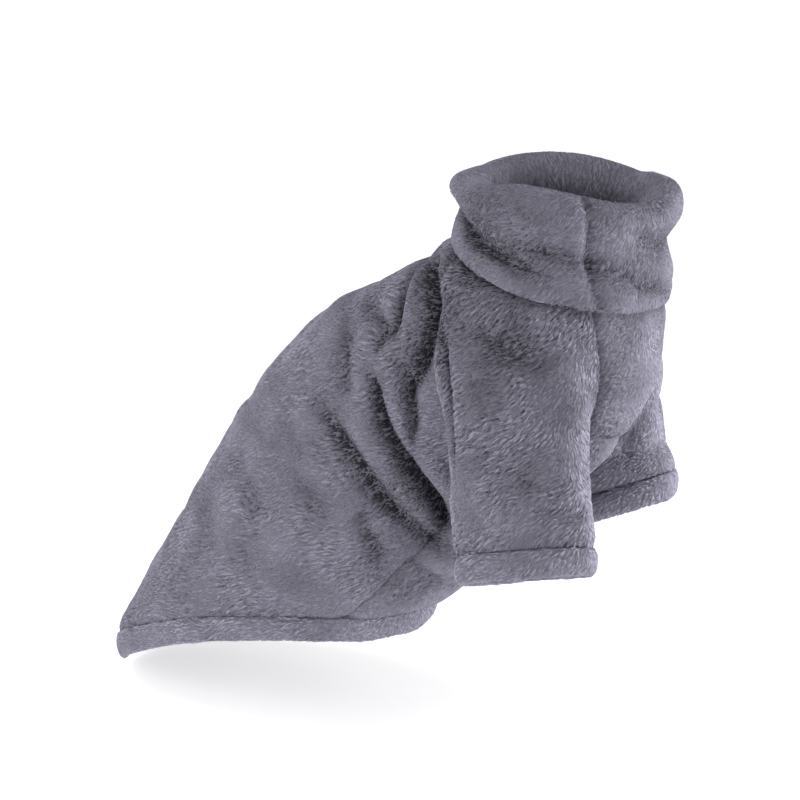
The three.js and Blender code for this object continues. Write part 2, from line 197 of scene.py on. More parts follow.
# A turned band's closed section, in shares of its depth and of its wall.
BAND_SECTION = table(
    "down inward",
    (0.02, 0.50),
    (0.08, 0.24),
    (0.28, 0.04),
    (0.58, 0.00),
    (0.88, 0.12),
    (1.02, 0.46),
    (0.92, 0.84),
    (0.55, 1.00),
    (0.00, 0.95),
)

# How finely the sheets are divided.
RAGLAN_ROWS = 60  # neckline to armpit
SIDE_ROWS = 100  # armpit to rear hem
CUFF_ROWS = 14  # armpit to cuff
BACK_COLUMNS = 150
BELLY_COLUMNS = 44
SLEEVE_COLUMNS = 100
COLLAR_COLUMNS = 200
SECTION_STEPS = 4  # between two rows of a section
STEP = 1e-4  # for the form's slopes, taken by small differences
SLEEVE_STEP = 1e-3  # for a sleeve's
NECK_LEVEL = 0.02  # how far down the way out turns from the neckline's plane to the form's own


def mix(a, b, t):
    return a + (b - a) * t


def bell(x):
    return np.exp(-x * x)


def smooth(x):
    x = np.clip(x, 0, 1)
    return x * x * (3 - 2 * x)


def unit(v):
    return v / np.maximum(np.linalg.norm(v, axis=-1, keepdims=True), 1e-12)


def column(rows, key, name, x):
    """A named column at any value of its key column, on a smooth curve through the rows."""
    keys, values = rows[key], rows[name]
    last = len(keys) - 1
    row = np.arange(last + 1)
    before, after = np.maximum(row - 1, 0), np.minimum(row + 1, last)
    slope = (values[after] - values[before]) / (keys[after] - keys[before])
    i = np.clip(np.searchsorted(keys, x) - 1, 0, last - 1)
    span = keys[i + 1] - keys[i]
    t = np.clip((x - keys[i]) / span, 0, 1)
    rise = span * t * (1 - t) * ((1 - t) * slope[i] - t * slope[i + 1])
    return mix(values[i], values[i + 1], smooth(t)) + rise


def form(at, turn):
    """Points of the smooth torso form."""
    at, turn = np.broadcast_arrays(np.asarray(at, float), turn)
    value = {name: column(TORSO, "at", name, at) for name in TORSO}
    s = np.sin(turn)
    share = (1 + np.cos(turn)) / 2
    x = value["half"] * s * (1 - value["egg"] * (1 - share))
    y = mix(value["belly_y"], value["back_y"], share)
    z = mix(value["belly_z"], value["back_z"], share) + value["lift"] * s * s
    return np.stack([x, y, z], -1)


def form_normal(at, turn):
    """The way out of the torso form. At the neckline it lies in the neckline's plane."""
    across = form(at, turn + STEP) - form(at, turn - STEP)
    down = form(np.minimum(at + STEP, 1), turn) - form(np.maximum(at - STEP, 0), turn)
    square = unit(np.cross(across, down))
    level = smooth(1 - np.asarray(at) / NECK_LEVEL)[..., None]
    return unit(mix(square, unit(form(0, turn)), level))


# ---- folds and seams ----------------------------------------------------------------------

LINE_STEPS = 28  # stretches in a fold's line
LONG_STEPS = 4 * LINE_STEPS  # and in the line of a seam
ROUND_STEPS = 8 * LINE_STEPS  # and in a line all round the torso
FADE = 0.35  # the share of a fold's length in which it fades
SHARPNESS = 1.2  # of a trough's bottom: 2 is round and 1 is a crease
FOLD_REACH = 5  # in widths of the fold from its line, as the next three are: where it ends
SWELL_AT, SWELL_WIDE = 1.9, 1.2  # where the cloth beside it swells
LAP_AT = 1.3  # where it hangs over
CORE = 0.85  # where its pile gets the painted shade of the crease's core
HOLD = 1.5  # how far round a bend in the cloth a fold still holds
TROUGH_DEEP, TROUGH_DARK = 0.0055, 0.36  # a trough's depth, and how much painted shade darkens its pile there
CORE_DEEP, CORE_DARK = 0.0105, 0.72  # and the same for its core


def line(path):
    """A smooth run of values through the path's rows."""
    path = np.array(path, float)
    rows = {str(k): path[:, k] for k in range(path.shape[1])}
    rows["share"] = np.linspace(0, 1, len(path))
    shares = np.linspace(0, 1, LINE_STEPS + 1)
    return [column(rows, "share", str(k), shares) for k in range(path.shape[1])]


def fold(points, normals, depth, width, ridge=0.0, lap=0.0, start=0.0, end=0.0):
    """A trough along a line of points. ridge is how far the cloth swells on the line's lower
    side, or its upper one if it is below zero, and lap is how far that side hangs over the
    trough. start and end are how deep the fold stays at its two ends."""
    across = unit(np.cross(normals, np.gradient(points, axis=0)))
    return {
        "points": points,
        "normals": normals,
        "across": across * (1 if ridge >= 0 else -1),
        "depth": depth,
        "width": width,
        "ridge": abs(ridge),
        "lap": lap,
        "start": start,
        "end": end,
    }


def nearest(points, path):
    """How far each point is from a path, the share of the path there, and the way from it."""
    start, run = path[:-1], path[1:] - path[:-1]
    reach = points[:, None] - start
    t = np.clip((reach * run).sum(-1) / np.maximum((run * run).sum(-1), 1e-15), 0, 1)
    off = reach - t[..., None] * run
    far = np.linalg.norm(off, axis=-1)
    k = far.argmin(1)
    row = np.arange(len(points))
    return far[row, k], (k + t[row, k]) / len(start), off[row, k]


def press(points, normals, folds):
    """The points, pressed in along the folds and swelled beside them, and the painted shade of
    their pile there, from below 0, a painted highlight on a swell, to 1 at the bottom of a deep
    crease."""
    flat, out = points.reshape(-1, 3), normals.reshape(-1, 3)
    inward, shade, shift = np.zeros(len(flat)), np.zeros(len(flat)), np.zeros_like(flat)
    for f in folds:
        width = f["width"]
        reach = FOLD_REACH * width
        low, high = f["points"].min(0) - reach, f["points"].max(0) + reach
        near = np.flatnonzero(((flat > low) & (flat < high)).all(1))
        if not len(near):
            continue
        far, share, off = nearest(flat[near], f["points"])
        k = np.round(share * (len(f["points"]) - 1)).astype(int)
        facing = np.clip((out[near] * f["normals"][k]).sum(-1) * HOLD, 0, 1)
        fade = mix(f["start"], 1, smooth(share / FADE))
        fade = fade * mix(f["end"], 1, smooth((1 - share) / FADE))
        side = (off * f["across"][k]).sum(-1)
        trough = f["depth"] * np.exp(-((far / width) ** SHARPNESS))
        swell = f["ridge"] * bell((side - SWELL_AT * width) / (SWELL_WIDE * width))
        inward[near] += facing * fade * (trough - swell)
        # painted shade in the trough and at its core, and painted highlight on the swell beside it
        core = bell(far / (CORE * width)) * min(f["depth"] / CORE_DEEP, 1) ** 2
        dark = TROUGH_DARK * (trough - swell) / TROUGH_DEEP + CORE_DARK * core
        shade[near] += facing * fade * dark
        hang = facing * fade * f["lap"] * bell((side - LAP_AT * width) / width)
        shift[near] -= hang[:, None] * f["across"][k]
    inward, shade = inward.reshape(points.shape[:-1]), shade.reshape(points.shape[:-1])
    return points - inward[..., None] * normals + shift.reshape(points.shape), shade


def seam_place(seam, along):
    return column(seam, "along", "at", along), np.radians(column(seam, "along", "turn", along))


def seam_fold(seam, side, depth, width):
    at, turn = seam_place(seam, np.linspace(0, 1, LINE_STEPS + 1))
    return fold(form(at, side * turn), form_normal(at, side * turn), depth, width, start=1, end=1)


def torso_fold(path, shape):
    """A fold on the torso, through (at, turn) places."""
    at, turn = line(path)
    turn = np.radians(turn)
    return fold(form(at, turn), form_normal(at, turn), *shape)


def round_fold(at, depth, width):
    """A groove all round the torso."""
    turn = np.linspace(-pi, pi, ROUND_STEPS + 1)
    return fold(form(at, turn), form_normal(at, turn), depth, width, start=1, end=1)


# Each fold's way, as (at, turn) places, and its shape: depth, width, ridge, lap, start and end,
# as far as they aren't 0.
TORSO_FOLDS = (
    # right side, from the shoulder back
    (((0.048, -42.5), (0.07, -59), (0.106, -71), (0.154, -78.5), (0.206, -84.5), (0.252, -87.5)),
     (0.0116, 0.0046, 0.0014, 0.0008, 0.6, 0.2)),
    (((0.082, -34), (0.118, -51), (0.156, -60.5), (0.192, -63)),
     (0.0064, 0.0034, 0.0020, 0.0012, 0.4, 0.1)),
    (((0.162, -31), (0.164, -52), (0.188, -61), (0.216, -67.5)),
     (0.0050, 0.0036, 0.0014, 0.0006, 0.1, 0.2)),
    (((0.208, -26), (0.222, -47), (0.258, -58.5), (0.29, -67.5), (0.31, -73.5)),
     (0.0044, 0.0056, 0.0018, 0.0006, 0.0, 0.2)),
    (((0.24, -67), (0.262, -75.5), (0.3, -85.5), (0.346, -99), (0.384, -111.5), (0.428, -126),
      (0.468, -135.5)), (0.0130, 0.0048, 0.0030, 0.0026, 0.2, 0.9)),
    (((0.21, -78), (0.232, -84), (0.262, -90.5), (0.304, -99), (0.346, -107.5)),
     (0.0062, 0.0028, -0.0014, 0.0010, 0.3, 0.2)),
    (((0.34, -59.5), (0.356, -72), (0.384, -84), (0.418, -97), (0.464, -111.5), (0.5, -126),
      (0.526, -139)), (0.0078, 0.0060, 0.0022, 0.0014, 0.0, 0.5)),
    (((0.506, -106.5), (0.518, -110.5), (0.588, -124), (0.656, -133)),
     (0.0048, 0.0050, 0.0012, 0.0008, 0.0, 0.3)),
    (((0.39, -66), (0.422, -80.5), (0.446, -89.5)), (0.0030, 0.0050, 0.0008)),
    (((0.4, -52), (0.428, -70), (0.47, -83)), (0.0028, 0.0058, 0.0008)),
    (((0.528, -59), (0.608, -84)), (0.0026, 0.0062, 0.0007)),
    (((0.622, -46.5), (0.726, -78)), (0.0022, 0.0066, 0.0006)),
    (((0.452, -69.5), (0.566, -107)), (0.0028, 0.0058, 0.0008)),
    (((0.494, -47), (0.546, -64.5)), (0.0020, 0.0058, 0.0006)),
    # left side
    (((0.05, 44), (0.08, 61), (0.12, 74), (0.17, 84), (0.235, 93)),
     (0.0082, 0.0044, -0.0010, 0.0006, 0.4, 0.2)),
    (((0.07, 33), (0.118, 50), (0.168, 64), (0.2, 70)),
     (0.0050, 0.0044, -0.0014, 0.0008, 0.2, 0.1)),
    (((0.222, 64), (0.262, 77), (0.318, 92), (0.366, 108), (0.42, 126), (0.45, 136)),
     (0.0112, 0.0052, -0.0028, 0.0022, 0.1, 0.8)),
    (((0.315, 50), (0.35, 70), (0.4, 90), (0.45, 111), (0.51, 134)),
     (0.0080, 0.0062, -0.0020, 0.0012, 0.0, 0.5)),
    (((0.48, 100), (0.56, 118), (0.64, 131)), (0.0046, 0.0054, -0.0010, 0.0006, 0.0, 0.3)),
    (((0.2, 24), (0.235, 46), (0.285, 65)), (0.0040, 0.0060, -0.0014, 0.0004, 0.0, 0.2)),
    (((0.41, 44), (0.44, 62), (0.49, 79)), (0.0028, 0.0060, -0.0008)),
    (((0.55, 52), (0.64, 86)), (0.0026, 0.0066, -0.0007)),
    (((0.66, 40), (0.75, 70)), (0.0020, 0.0068, -0.0006)),
    (((0.5, 84), (0.6, 112)), (0.0024, 0.0060, -0.0006)),
    # over the back
    (((0.045, -38), (0.065, -20), (0.078, 0), (0.062, 24)), (0.0034, 0.0070, 0.0004, 0.0, 0.3)),
    (((0.16, -16), (0.175, 4), (0.168, 24)), (0.0016, 0.0062, 0.0006)),
    # belly
    (((0.585, -131), (0.612, -140), (0.648, -150.5), (0.70, -164)),
     (0.0034, 0.0058, 0.0016, 0.0, 0.0, 0.2)),
    (((0.68, -135), (0.702, -143), (0.755, -150), (0.82, -153)), (0.0026, 0.0088, 0.0, 0.0, 0.1)),
    (((0.2, -170), (0.215, 176), (0.2, 166)), (0.0020, 0.0048, 0.0006)),
    (((0.45, -160), (0.47, 178), (0.45, 158)), (0.0024, 0.0058, 0.0008)),
    (((0.68, -164), (0.7, 176), (0.69, 160)), (0.0018, 0.0062, 0.0006)),
)
# Where each sleeve stands away from the back, down to the armpit.
ARMPIT_FOLD = ((0.17, 100), (0.23, 118), (0.29, 134), (0.33, 144))
ARMPIT_SHAPE = (0.0060, 0.0054, 0.0, 0.0, 0.1, 0.9)
SEAM_DEPTH, SEAM_WIDTH = 0.0020, 0.0024
NECK_GROOVE = 0.003  # how far down the body the collar's edge presses it in
NECK_DEPTH, NECK_WIDTH = 0.0042, 0.0036

body_folds = [torso_fold(*row) for row in TORSO_FOLDS]
for side in (-1, 1):
    body_folds.append(torso_fold([(at, side * turn) for at, turn in ARMPIT_FOLD], ARMPIT_SHAPE))
for seam in (BACK_RAGLAN, FRONT_RAGLAN, SIDE_SEAM):
    body_folds += [seam_fold(seam, side, SEAM_DEPTH, SEAM_WIDTH) for side in (-1, 1)]
body_folds.append(round_fold(NECK_GROOVE, NECK_DEPTH, NECK_WIDTH))
body_folds.append(round_fold(HEM_AT, SEAM_DEPTH, SEAM_WIDTH))


# ---- sheets -------------------------------------------------------------------------------

WAVE_SPREAD = (0.7, 1.6)  # of the waves' lengths
WAVE_PEAK = 1.6
CLOTH_SWELLS = ((0.0009, 0.034, 11), (0.0003, 0.013, 12))  # how high, how far apart, and a seed
BACK_RISE = 0.0037  # how far the back stands up behind the collar
RISE_AT, RISE_LONG = 0.29, 0.13  # down the body
RISE_NECK = 0.12  # and nothing at the neckline, from here up
RISE_WIDE = 0.75  # in turn
NECK_PAINTED_SHADE = 0.26  # how much darker painted shade makes the pile under the collar's sides
NECK_SHADE_LONG = 0.30  # from the neckline down
NECK_SHADE_TURN, NECK_SHADE_WIDE = 1.25, 0.75
SEAM_HOLD = 0.012  # how far from a seam the two sheets' walls lean alike


def waves(points, size, seed, count=18):
    """A soft, uneven field from -1 to 1, whose swells are about size apart."""
    rng = np.random.default_rng(seed)
    ways = unit(rng.normal(size=(count, 3)))
    ways = ways * (2 * pi / (size * rng.uniform(*WAVE_SPREAD, (count, 1))))
    field = sum(np.sin(points @ way + rng.uniform(0, 2 * pi)) for way in ways)
    return np.clip(field / np.sqrt(count), -WAVE_PEAK, WAVE_PEAK) / WAVE_PEAK


def swells(points, rows):
    """Waves of a few sizes together, from each one's height, size and seed."""
    return sum(height * waves(points, size, seed) for height, size, seed in rows)


def uneven(points):
    """How far soft cloth stands off its smooth form."""
    return swells(points, CLOTH_SWELLS)[..., None]


def arch(at, turn):
    """How far the back stands up behind the collar."""
    rise = BACK_RISE * bell((at - RISE_AT) / RISE_LONG) * smooth(at / RISE_NECK)
    return (rise * bell(turn / RISE_WIDE))[..., None]


def painted_neck_shade(at, turn):
    """Painted shade: how much darker the pile is under the collar's sides, near the neckline."""
    aside = np.abs((turn + pi) % (2 * pi) - pi)
    dark = NECK_PAINTED_SHADE * (1 - smooth(at / NECK_SHADE_LONG))
    return dark * bell((aside - NECK_SHADE_TURN) / NECK_SHADE_WIDE)


def edge_places(raglan):
    """Where a panel's side runs: down a raglan seam to the armpit, then the side seam."""
    first = seam_place(raglan, np.linspace(0, 1, RAGLAN_ROWS + 1))
    then = seam_place(SIDE_SEAM, np.linspace(0, 1, SIDE_ROWS + 1)[1:])
    return np.concatenate([first[0], then[0]]), np.concatenate([first[1], then[1]])


def panel(raglan, columns, over_belly):
    """A torso panel's points, normals and painted shades, from its right side to its left one."""
    at, edge = edge_places(raglan)
    at, edge = np.repeat(at[:, None], columns + 1, 1), edge[:, None]
    first, last = (edge, 2 * pi - edge) if over_belly else (-edge, edge)
    turn = mix(first, last, np.linspace(0, 1, columns + 1))
    points, normals = form(at, turn), form_normal(at, turn)
    rise = 0 if over_belly else arch(at, turn)
    pressed, shade = press(points + normals * (uneven(points) + rise), normals, body_folds)
    # painted shade under the collar's sides
    return pressed, normals, shade + painted_neck_shade(at, turn)


def neck_turn(u):
    """The turn where a sleeve meets the neckline, from its front raglan seam to its back one."""
    return np.radians(mix(FRONT_RAGLAN["turn"][0], BACK_RAGLAN["turn"][0], u))


def sleeve_ring(side, at, u):
    """Points of a sleeve's ring, from the underarm seam over the front and back to it."""
    value = {name: column(SLEEVES[side], "at", name, at) for name in SLEEVES[side]}
    angle = np.radians(UNDERARM_TURN + 360 * u)
    forward, outward = np.sin(angle), -np.cos(angle)
    x = side * (value["x"] + value["across"] * outward)
    y = value["y"] - value["fore"] * forward
    z = value["z"] + value["tilt"] * forward + value["roll"] * outward
    return np.stack([x, y, z], -1)


def sleeve_form(side, down, u):
    """Points of a smooth sleeve. down is 0 at the neckline, 1 at the armpit and 2 at the cuff,
    and u goes round the sleeve from 0 to 1, from its front raglan seam to its back one."""
    down, u = np.broadcast_arrays(np.asarray(down, float), u)
    t, at = np.clip(down, 0, 1)[..., None], np.clip(down - 1, 0, 1)

    def on_seam(seam, along):
        place, turn = seam_place(seam, along)
        return form(place, side * turn)

    armpit = on_seam(FRONT_RAGLAN, np.float64(1))
    shift = armpit - sleeve_ring(side, np.float64(0), np.float64(0))
    pull = (1 - at) * np.abs(2 * u - 1) ** SHIFT_EASE
    tube = sleeve_ring(side, at, u) + pull[..., None] * shift
    cap = mix(form(0, side * neck_turn(u)), tube, t)
    for seam, share in ((FRONT_RAGLAN, 1 - u), (BACK_RAGLAN, u)):
        straight = mix(on_seam(seam, np.float64(0)), armpit, t)
        cap = cap + (on_seam(seam, t[..., 0]) - straight) * (share**CAP_EASE)[..., None]
    return np.where(down[..., None] > 1, tube, cap)


def sleeve(side):
    """A sleeve's points, normals and painted shades, from the neckline to the cuff."""
    cap, tube = np.linspace(0, 1, RAGLAN_ROWS + 1), np.linspace(1, 2, CUFF_ROWS + 1)
    down, u = np.concatenate([cap, tube[1:]]), np.linspace(0, 1, SLEEVE_COLUMNS + 1)
    points = sleeve_form(side, down[:, None], u)
    across = np.gradient(points, axis=1)
    across[:, 0] = across[:, -1] = points[:, 1] - points[:, 0] + points[:, -1] - points[:, -2]
    square = unit(np.cross(across, np.gradient(points, axis=0))) * -side
    flat, normals = points.reshape(-1, 3), square.reshape(-1, 3).copy()
    for seam in (FRONT_RAGLAN, BACK_RAGLAN):
        at, turn = seam_place(seam, np.linspace(0, 1, LONG_STEPS + 1))
        path, out = form(at, side * turn), form_normal(at, side * turn)
        far, share, _ = nearest(flat, path)
        held = smooth(1 - far / SEAM_HOLD)[:, None]
        normals = unit(mix(normals, out[np.round(share * LONG_STEPS).astype(int)], held))
    normals = normals.reshape(points.shape)
    normals[0] = unit(points[0])
    folds = body_folds + sleeve_folds[side]
    pressed, shade = press(points + normals * uneven(points), normals, folds)
    # painted shade under the collar's sides
    return pressed, normals, shade + painted_neck_shade(down[:, None] / DOWN_PER_AT, neck_turn(u))


def sleeve_fold(side, path, shape):
    """A fold on a sleeve, through (down, u) places."""
    down, u = line(path)
    e = SLEEVE_STEP
    across = sleeve_form(side, down, u + e) - sleeve_form(side, down, u - e)
    fall = sleeve_form(side, down + e, u) - sleeve_form(side, down - e, u)
    return fold(sleeve_form(side, down, u), unit(np.cross(across, fall)) * -side, *shape)


# Each fold's way, as (down, u) places, and its shape.
SLEEVE_FOLDS = {
    -1: (
        (((0.24, 0.86), (0.38, 0.78), (0.46, 0.75), (0.56, 0.73), (0.66, 0.74), (0.86, 0.75),
          (0.98, 0.71)), (0.0046, 0.0030, 0.0008, 0.0004, 0.1)),
        (((0.27, 0.73), (0.28, 0.66), (0.30, 0.55), (0.34, 0.44), (0.36, 0.32)),
         (0.0028, 0.0080, 0.0010, 0.0, 0.2)),
        (((0.16, 0.90), (0.30, 0.88), (0.45, 0.87), (0.62, 0.89)), (0.0036, 0.0080)),
        (((0.86, 0.62), (0.89, 0.55), (0.92, 0.48), (0.95, 0.43)), (0.0026, 0.0056, 0.0008)),
        (((0.02, 0.51), (0.20, 0.47), (0.26, 0.41)), (0.0020, 0.0056, 0.0006, 0.0, 0.2)),
        (((1.02, 0.56), (1.16, 0.47), (1.20, 0.36)), (0.0020, 0.0040, 0.0010)),
        (((1.10, 0.70), (1.40, 0.66), (1.70, 0.68)), (0.0018, 0.0050, 0.0006)),
    ),
    1: (
        (((0.22, 0.84), (0.36, 0.78), (0.50, 0.75), (0.68, 0.76), (0.90, 0.73)),
         (0.0042, 0.0034, -0.0008, 0.0004, 0.1)),
        (((0.26, 0.66), (0.34, 0.53), (0.42, 0.36)), (0.0032, 0.0072, -0.0010)),
        (((0.62, 0.60), (0.72, 0.46), (0.80, 0.32)), (0.0026, 0.0060, -0.0008)),
        (((0.30, 0.16), (0.52, 0.13), (0.80, 0.17), (0.96, 0.22)),
         (0.0034, 0.0044, 0.0010, 0.0, 0.0, 0.2)),
        (((0.62, 0.30), (0.84, 0.24), (1.05, 0.22)), (0.0026, 0.0040, 0.0008)),
    ),
}
sleeve_folds = {
    side: [sleeve_fold(side, *row) for row in rows] for side, rows in SLEEVE_FOLDS.items()
}
for side in (-1, 1):
    cuff_way = sleeve_form(side, np.full(LONG_STEPS + 1, 2.0), np.linspace(0, 1, LONG_STEPS + 1))
    outward = unit((cuff_way - cuff_way[:-1].mean(0)) * (1, 1, 0))
    sleeve_folds[side].append(fold(cuff_way, outward, SEAM_DEPTH, SEAM_WIDTH, start=1, end=1))


def smooth_section(rows):
    """A smooth closed run through a section's rows, SECTION_STEPS to a stretch."""
    points = np.stack([*rows.values()], -1)
    around = np.concatenate([points[-1:], points, points[:2]])
    places = np.arange(len(points) * SECTION_STEPS) / SECTION_STEPS + 1
    i = places.astype(int)
    t = (places - i)[:, None]
    a, b, c, d = around[i - 1], around[i], around[i + 1], around[i + 2]
    return b + 0.5 * t * (c - a + t * (2 * a - 5 * b + 4 * c - d + t * (3 * (b - c) + d - a)))


def add_object(name, mesh, material):
    mesh.materials.append(material)
    mesh.shade_smooth()
    made = bpy.data.objects.new(name, mesh)
    bpy.context.scene.collection.objects.link(made)
    return made


def add_mesh(name, points, faces, material):
    """A closed smooth mesh of quads, its faces turned outwards."""
    a, b, c, d = (points[faces[:, corner]] for corner in range(4))
    if (a * np.cross(b, c)).sum() + (a * np.cross(c, d)).sum() < 0:
        faces = faces[:, ::-1]
    mesh = bpy.data.meshes.new(name)
    mesh.from_pydata(points.tolist(), [], faces.tolist())
    return add_object(name, mesh, material)


def quads(a, b, c, d):
    return np.stack([a, b, c, d], -1).reshape(-1, 4)


def add_wall(name, points, normals, material):
    """A sheet with its thickness, drawn in by half a seam's gap at its four edges."""
    outer = points.copy()
    for edge, inside in ((0, 1), (-1, -2)):
        outer[edge] += unit(outer[inside] - outer[edge]) * SEAM_GAP / 2
    for edge, inside in ((0, 1), (-1, -2)):
        outer[:, edge] += unit(outer[:, inside] - outer[:, edge]) * SEAM_GAP / 2
    inner = outer - normals * CLOTH
    rows, columns = outer.shape[:2]
    top = np.arange(rows * columns).reshape(rows, columns)
    under = top + rows * columns
    faces = [
        quads(top[:-1, :-1], top[:-1, 1:], top[1:, 1:], top[1:, :-1]),
        quads(under[:-1, :-1], under[1:, :-1], under[1:, 1:], under[:-1, 1:]),
        quads(top[:-1, 0], top[1:, 0], under[1:, 0], under[:-1, 0]),
        quads(top[:-1, -1], under[:-1, -1], under[1:, -1], top[1:, -1]),
        quads(top[0, :-1], under[0, :-1], under[0, 1:], top[0, 1:]),
        quads(top[-1, :-1], top[-1, 1:], under[-1, 1:], under[-1, :-1]),
    ]
    points = np.concatenate([outer.reshape(-1, 3), inner.reshape(-1, 3)])
    return add_mesh(name, points, np.concatenate(faces), material)


def add_ring(name, sections, material):
    """A closed ring, from the closed section at each step round it."""
    steps, size = sections.shape[:2]
    here = np.arange(steps * size).reshape(steps, size)
    there = np.roll(here, -1, 0)
    faces = quads(here, there, np.roll(there, -1, 1), np.roll(here, -1, 1))
    return add_mesh(name, sections.reshape(-1, 3), faces, material)


def ring_normals(sections):
    """The way out of a closed ring, at each point of its sections."""
    round_it = np.roll(sections, -1, 0) - np.roll(sections, 1, 0)
    along = np.roll(sections, -1, 1) - np.roll(sections, 1, 1)
    normals = unit(np.cross(round_it, along))
    lean = (normals * (sections - sections.mean((0, 1))))[:, : 2 * SECTION_STEPS].sum()
    return normals if lean > 0 else -normals


def band(edge, normals, down, depth=BAND_DEPTH):
    """The sections of a turned band that hangs from a ring of edge points."""
    section = smooth_section(BAND_SECTION)
    fall = SEAM_GAP / 2 + section[:, 0] * np.reshape(depth, (-1, 1))
    proud = (BAND_PROUD - section[:, 1] * BAND_WALL)[:, None]
    return edge[:, None] + unit(down)[:, None] * fall[..., None] + normals[:, None] * proud


def level_way(turn):
    """The level way out from the collar's middle."""
    return np.stack([np.sin(turn), np.cos(turn), 0 * turn], -1)


def collar_point(turn, up, out):
    """Points of the collar. up is 0 at the neckline and 1 at the rim."""
    turn, up, out = np.broadcast_arrays(turn, up, out)
    s, c = np.sin(turn), np.cos(turn)
    degrees = (np.degrees(turn) + 180) % 360 - 180
    droop, dip = (column(COLLAR_ROUND, "turn", name, degrees) for name in ("droop", "dip"))
    up = (np.where(up < 0, up * droop, up) * (1 - dip * smooth(2 * up - 1)))[..., None]
    neckline = form(0, turn)
    away = unit(np.array([0, -TORSO["back_z"][0], TORSO["back_y"][0]]))
    base = neckline + away * SEAM_GAP / 2
    x, y = RIM["x"] + RIM["across"] * s, RIM["y"] + RIM["fore"] * c
    rim = np.stack([x, y, RIM["z"] - RIM["tilt"] * c], -1)
    return mix(base, rim, up) + mix(unit(neckline), level_way(turn), up) * out[..., None]


def collar_fold(path, shape):
    """A fold on the collar's outer wall, through (turn, up) places."""
    turn, up = line(path)
    turn = np.radians(turn)
    out = np.interp(up, *(values[1:COLLAR_OUTSIDE] for values in COLLAR_SECTION.values()))
    return fold(collar_point(turn, up, out), level_way(turn), *shape)


# Each fold's way, as (turn, up) places, and its shape.
COLLAR_FOLDS = (
    # right side
    (((-36, 0.50), (-55, 0.40), (-69, 0.32), (-79, 0.28), (-91, 0.265), (-103, 0.25),
      (-119, 0.25)), (0.0064, 0.0029, -0.0014, 0.0012, 0.6, 0.2)),
    (((-96, 0.39), (-111, 0.45), (-121, 0.44), (-130, 0.40), (-138, 0.37)),
     (0.0034, 0.0034, -0.0012, 0.0004, 0.0, 0.6)),
    (((-96, 0.88), (-108, 0.80), (-122, 0.78)), (0.0012, 0.0050, 0.0003)),
    # front
    (((-139, 0.38), (-154, 0.32), (-165, 0.22), (-179, 0.16), (-199, 0.09), (-217, 0.07)),
     (0.0034, 0.0038, -0.0010, 0.0006, 0.6, 0.2)),
    (((-156, 0.70), (-169, 0.60), (-190, 0.49), (-212, 0.45), (-238, 0.52)),
     (0.0036, 0.0058, -0.0004, 0.0, 0.0, 0.3)),
    # left side and back
    (((96, 0.30), (76, 0.37), (54, 0.50), (38, 0.52)),
     (0.0046, 0.0034, 0.0012, 0.0014, 0.0, 0.3)),
    (((64, 0.24), (42, 0.28), (18, 0.36), (0, 0.35)), (0.0038, 0.0036, 0.0010, 0.0010)),
    (((-8, 0.56), (-24, 0.48), (-42, 0.46)), (0.0034, 0.0036, 0.0010, 0.0008, 0.0, 0.4)),
)
COLLAR_SEAM = (
    ((-134, 1.0), (-136, 0.83), (-137, 0.60), (-138, 0.40), (-140, 0.19), (-147, -0.05)),
    (0.0030, 0.0024, -0.0010, 0.0004, 1, 0.6),
)


def collar():
    """The collar's sections, pressed in along its folds and its joining seam, and their painted
    shades.
    """
    section = smooth_section(COLLAR_SECTION)
    turn = np.linspace(0, 2 * pi, COLLAR_COLUMNS, endpoint=False)
    points = collar_point(turn[:, None], section[:, 0], section[:, 1])
    normals = ring_normals(points)
    hidden = np.arange(COLLAR_CAVITY * SECTION_STEPS, len(section))
    outside = np.arange(SECTION_STEPS, (COLLAR_OUTSIDE - 1) * SECTION_STEPS)
    twin = outside[np.abs(section[hidden, None, 0] - section[outside, 0]).argmin(1)]
    normals[:, hidden] *= -1
    folds = [collar_fold(*row) for row in (*COLLAR_FOLDS, COLLAR_SEAM)]
    points = points + normals * uneven(points)
    pressed, shade = press(points, normals, folds)
    pressed[:, hidden] = points[:, hidden] + (pressed - points)[:, twin]
    row = np.arange(len(section)) / SECTION_STEPS
    degrees = np.degrees(turn[:, None])
    # painted shade deep inside the collar, and painted highlight along its rim
    inside = smooth((row - COLLAR_OUTSIDE - 1) / DARK_ROWS)
    shade += COLLAR_DARK * inside - RIM_HIGHLIGHT * bell((row - COLLAR_OUTSIDE) / LIGHT_ROWS)
    # patches of painted shade on the collar's sides and front, and of painted highlight at the rim
    for middle, level, wide, tall, dark in zip(*COLLAR_PAINTED_SHADE.values()):
        beside = (degrees - middle + 180) % 360 - 180
        shade += dark * bell(beside / wide) * bell((row - level) / tall)
    return pressed, shade


# ---- plush --------------------------------------------------------------------------------

FLEECE_COLOR = (0.165, 0.159, 0.199)
PILE_PER_AREA = 1.16e6  # tufts on a square metre
TUFT_LENGTH, LENGTH_SPREAD = 0.0035, (0.6, 1.25)
TUFT_WIDTH, WIDTH_SPREAD = 0.00092, (0.7, 1.35)
TUFT_RISE = 0.0008  # how far a tip stands off the cloth
TUFT_CREST = 0.00046  # how high a tuft's ridge is
TUFT_ROOT = 0.0004  # how deep a tuft is set
TUFT_STRAY = 0.08  # how far tufts turn from the nap, each its own way
TAIL, RIDGE, TIP = -0.4, -0.1, 0.6  # in a tuft's length, from its place
TUFT_FACES = np.array([[0, 2, 1], [0, 1, 3], [0, 3, 2], [1, 2, 3]])
MAP_SHARE = 0.45  # how much of its cell of the map a tuft takes
OWN_SHARE = 0.8  # how far a tuft follows the creased cloth, not the form under it
CREASE_CALM = 0.7  # how much fainter the ripples are in a crease
CREASE_SHORT = 0.25  # how much shorter and wider its tufts are
DRIFT = ((0.0037, 0.028, 1), (0.0009, 0.010, 2))  # as the cloth's swells are given
DRIFT_STEP = 0.0005
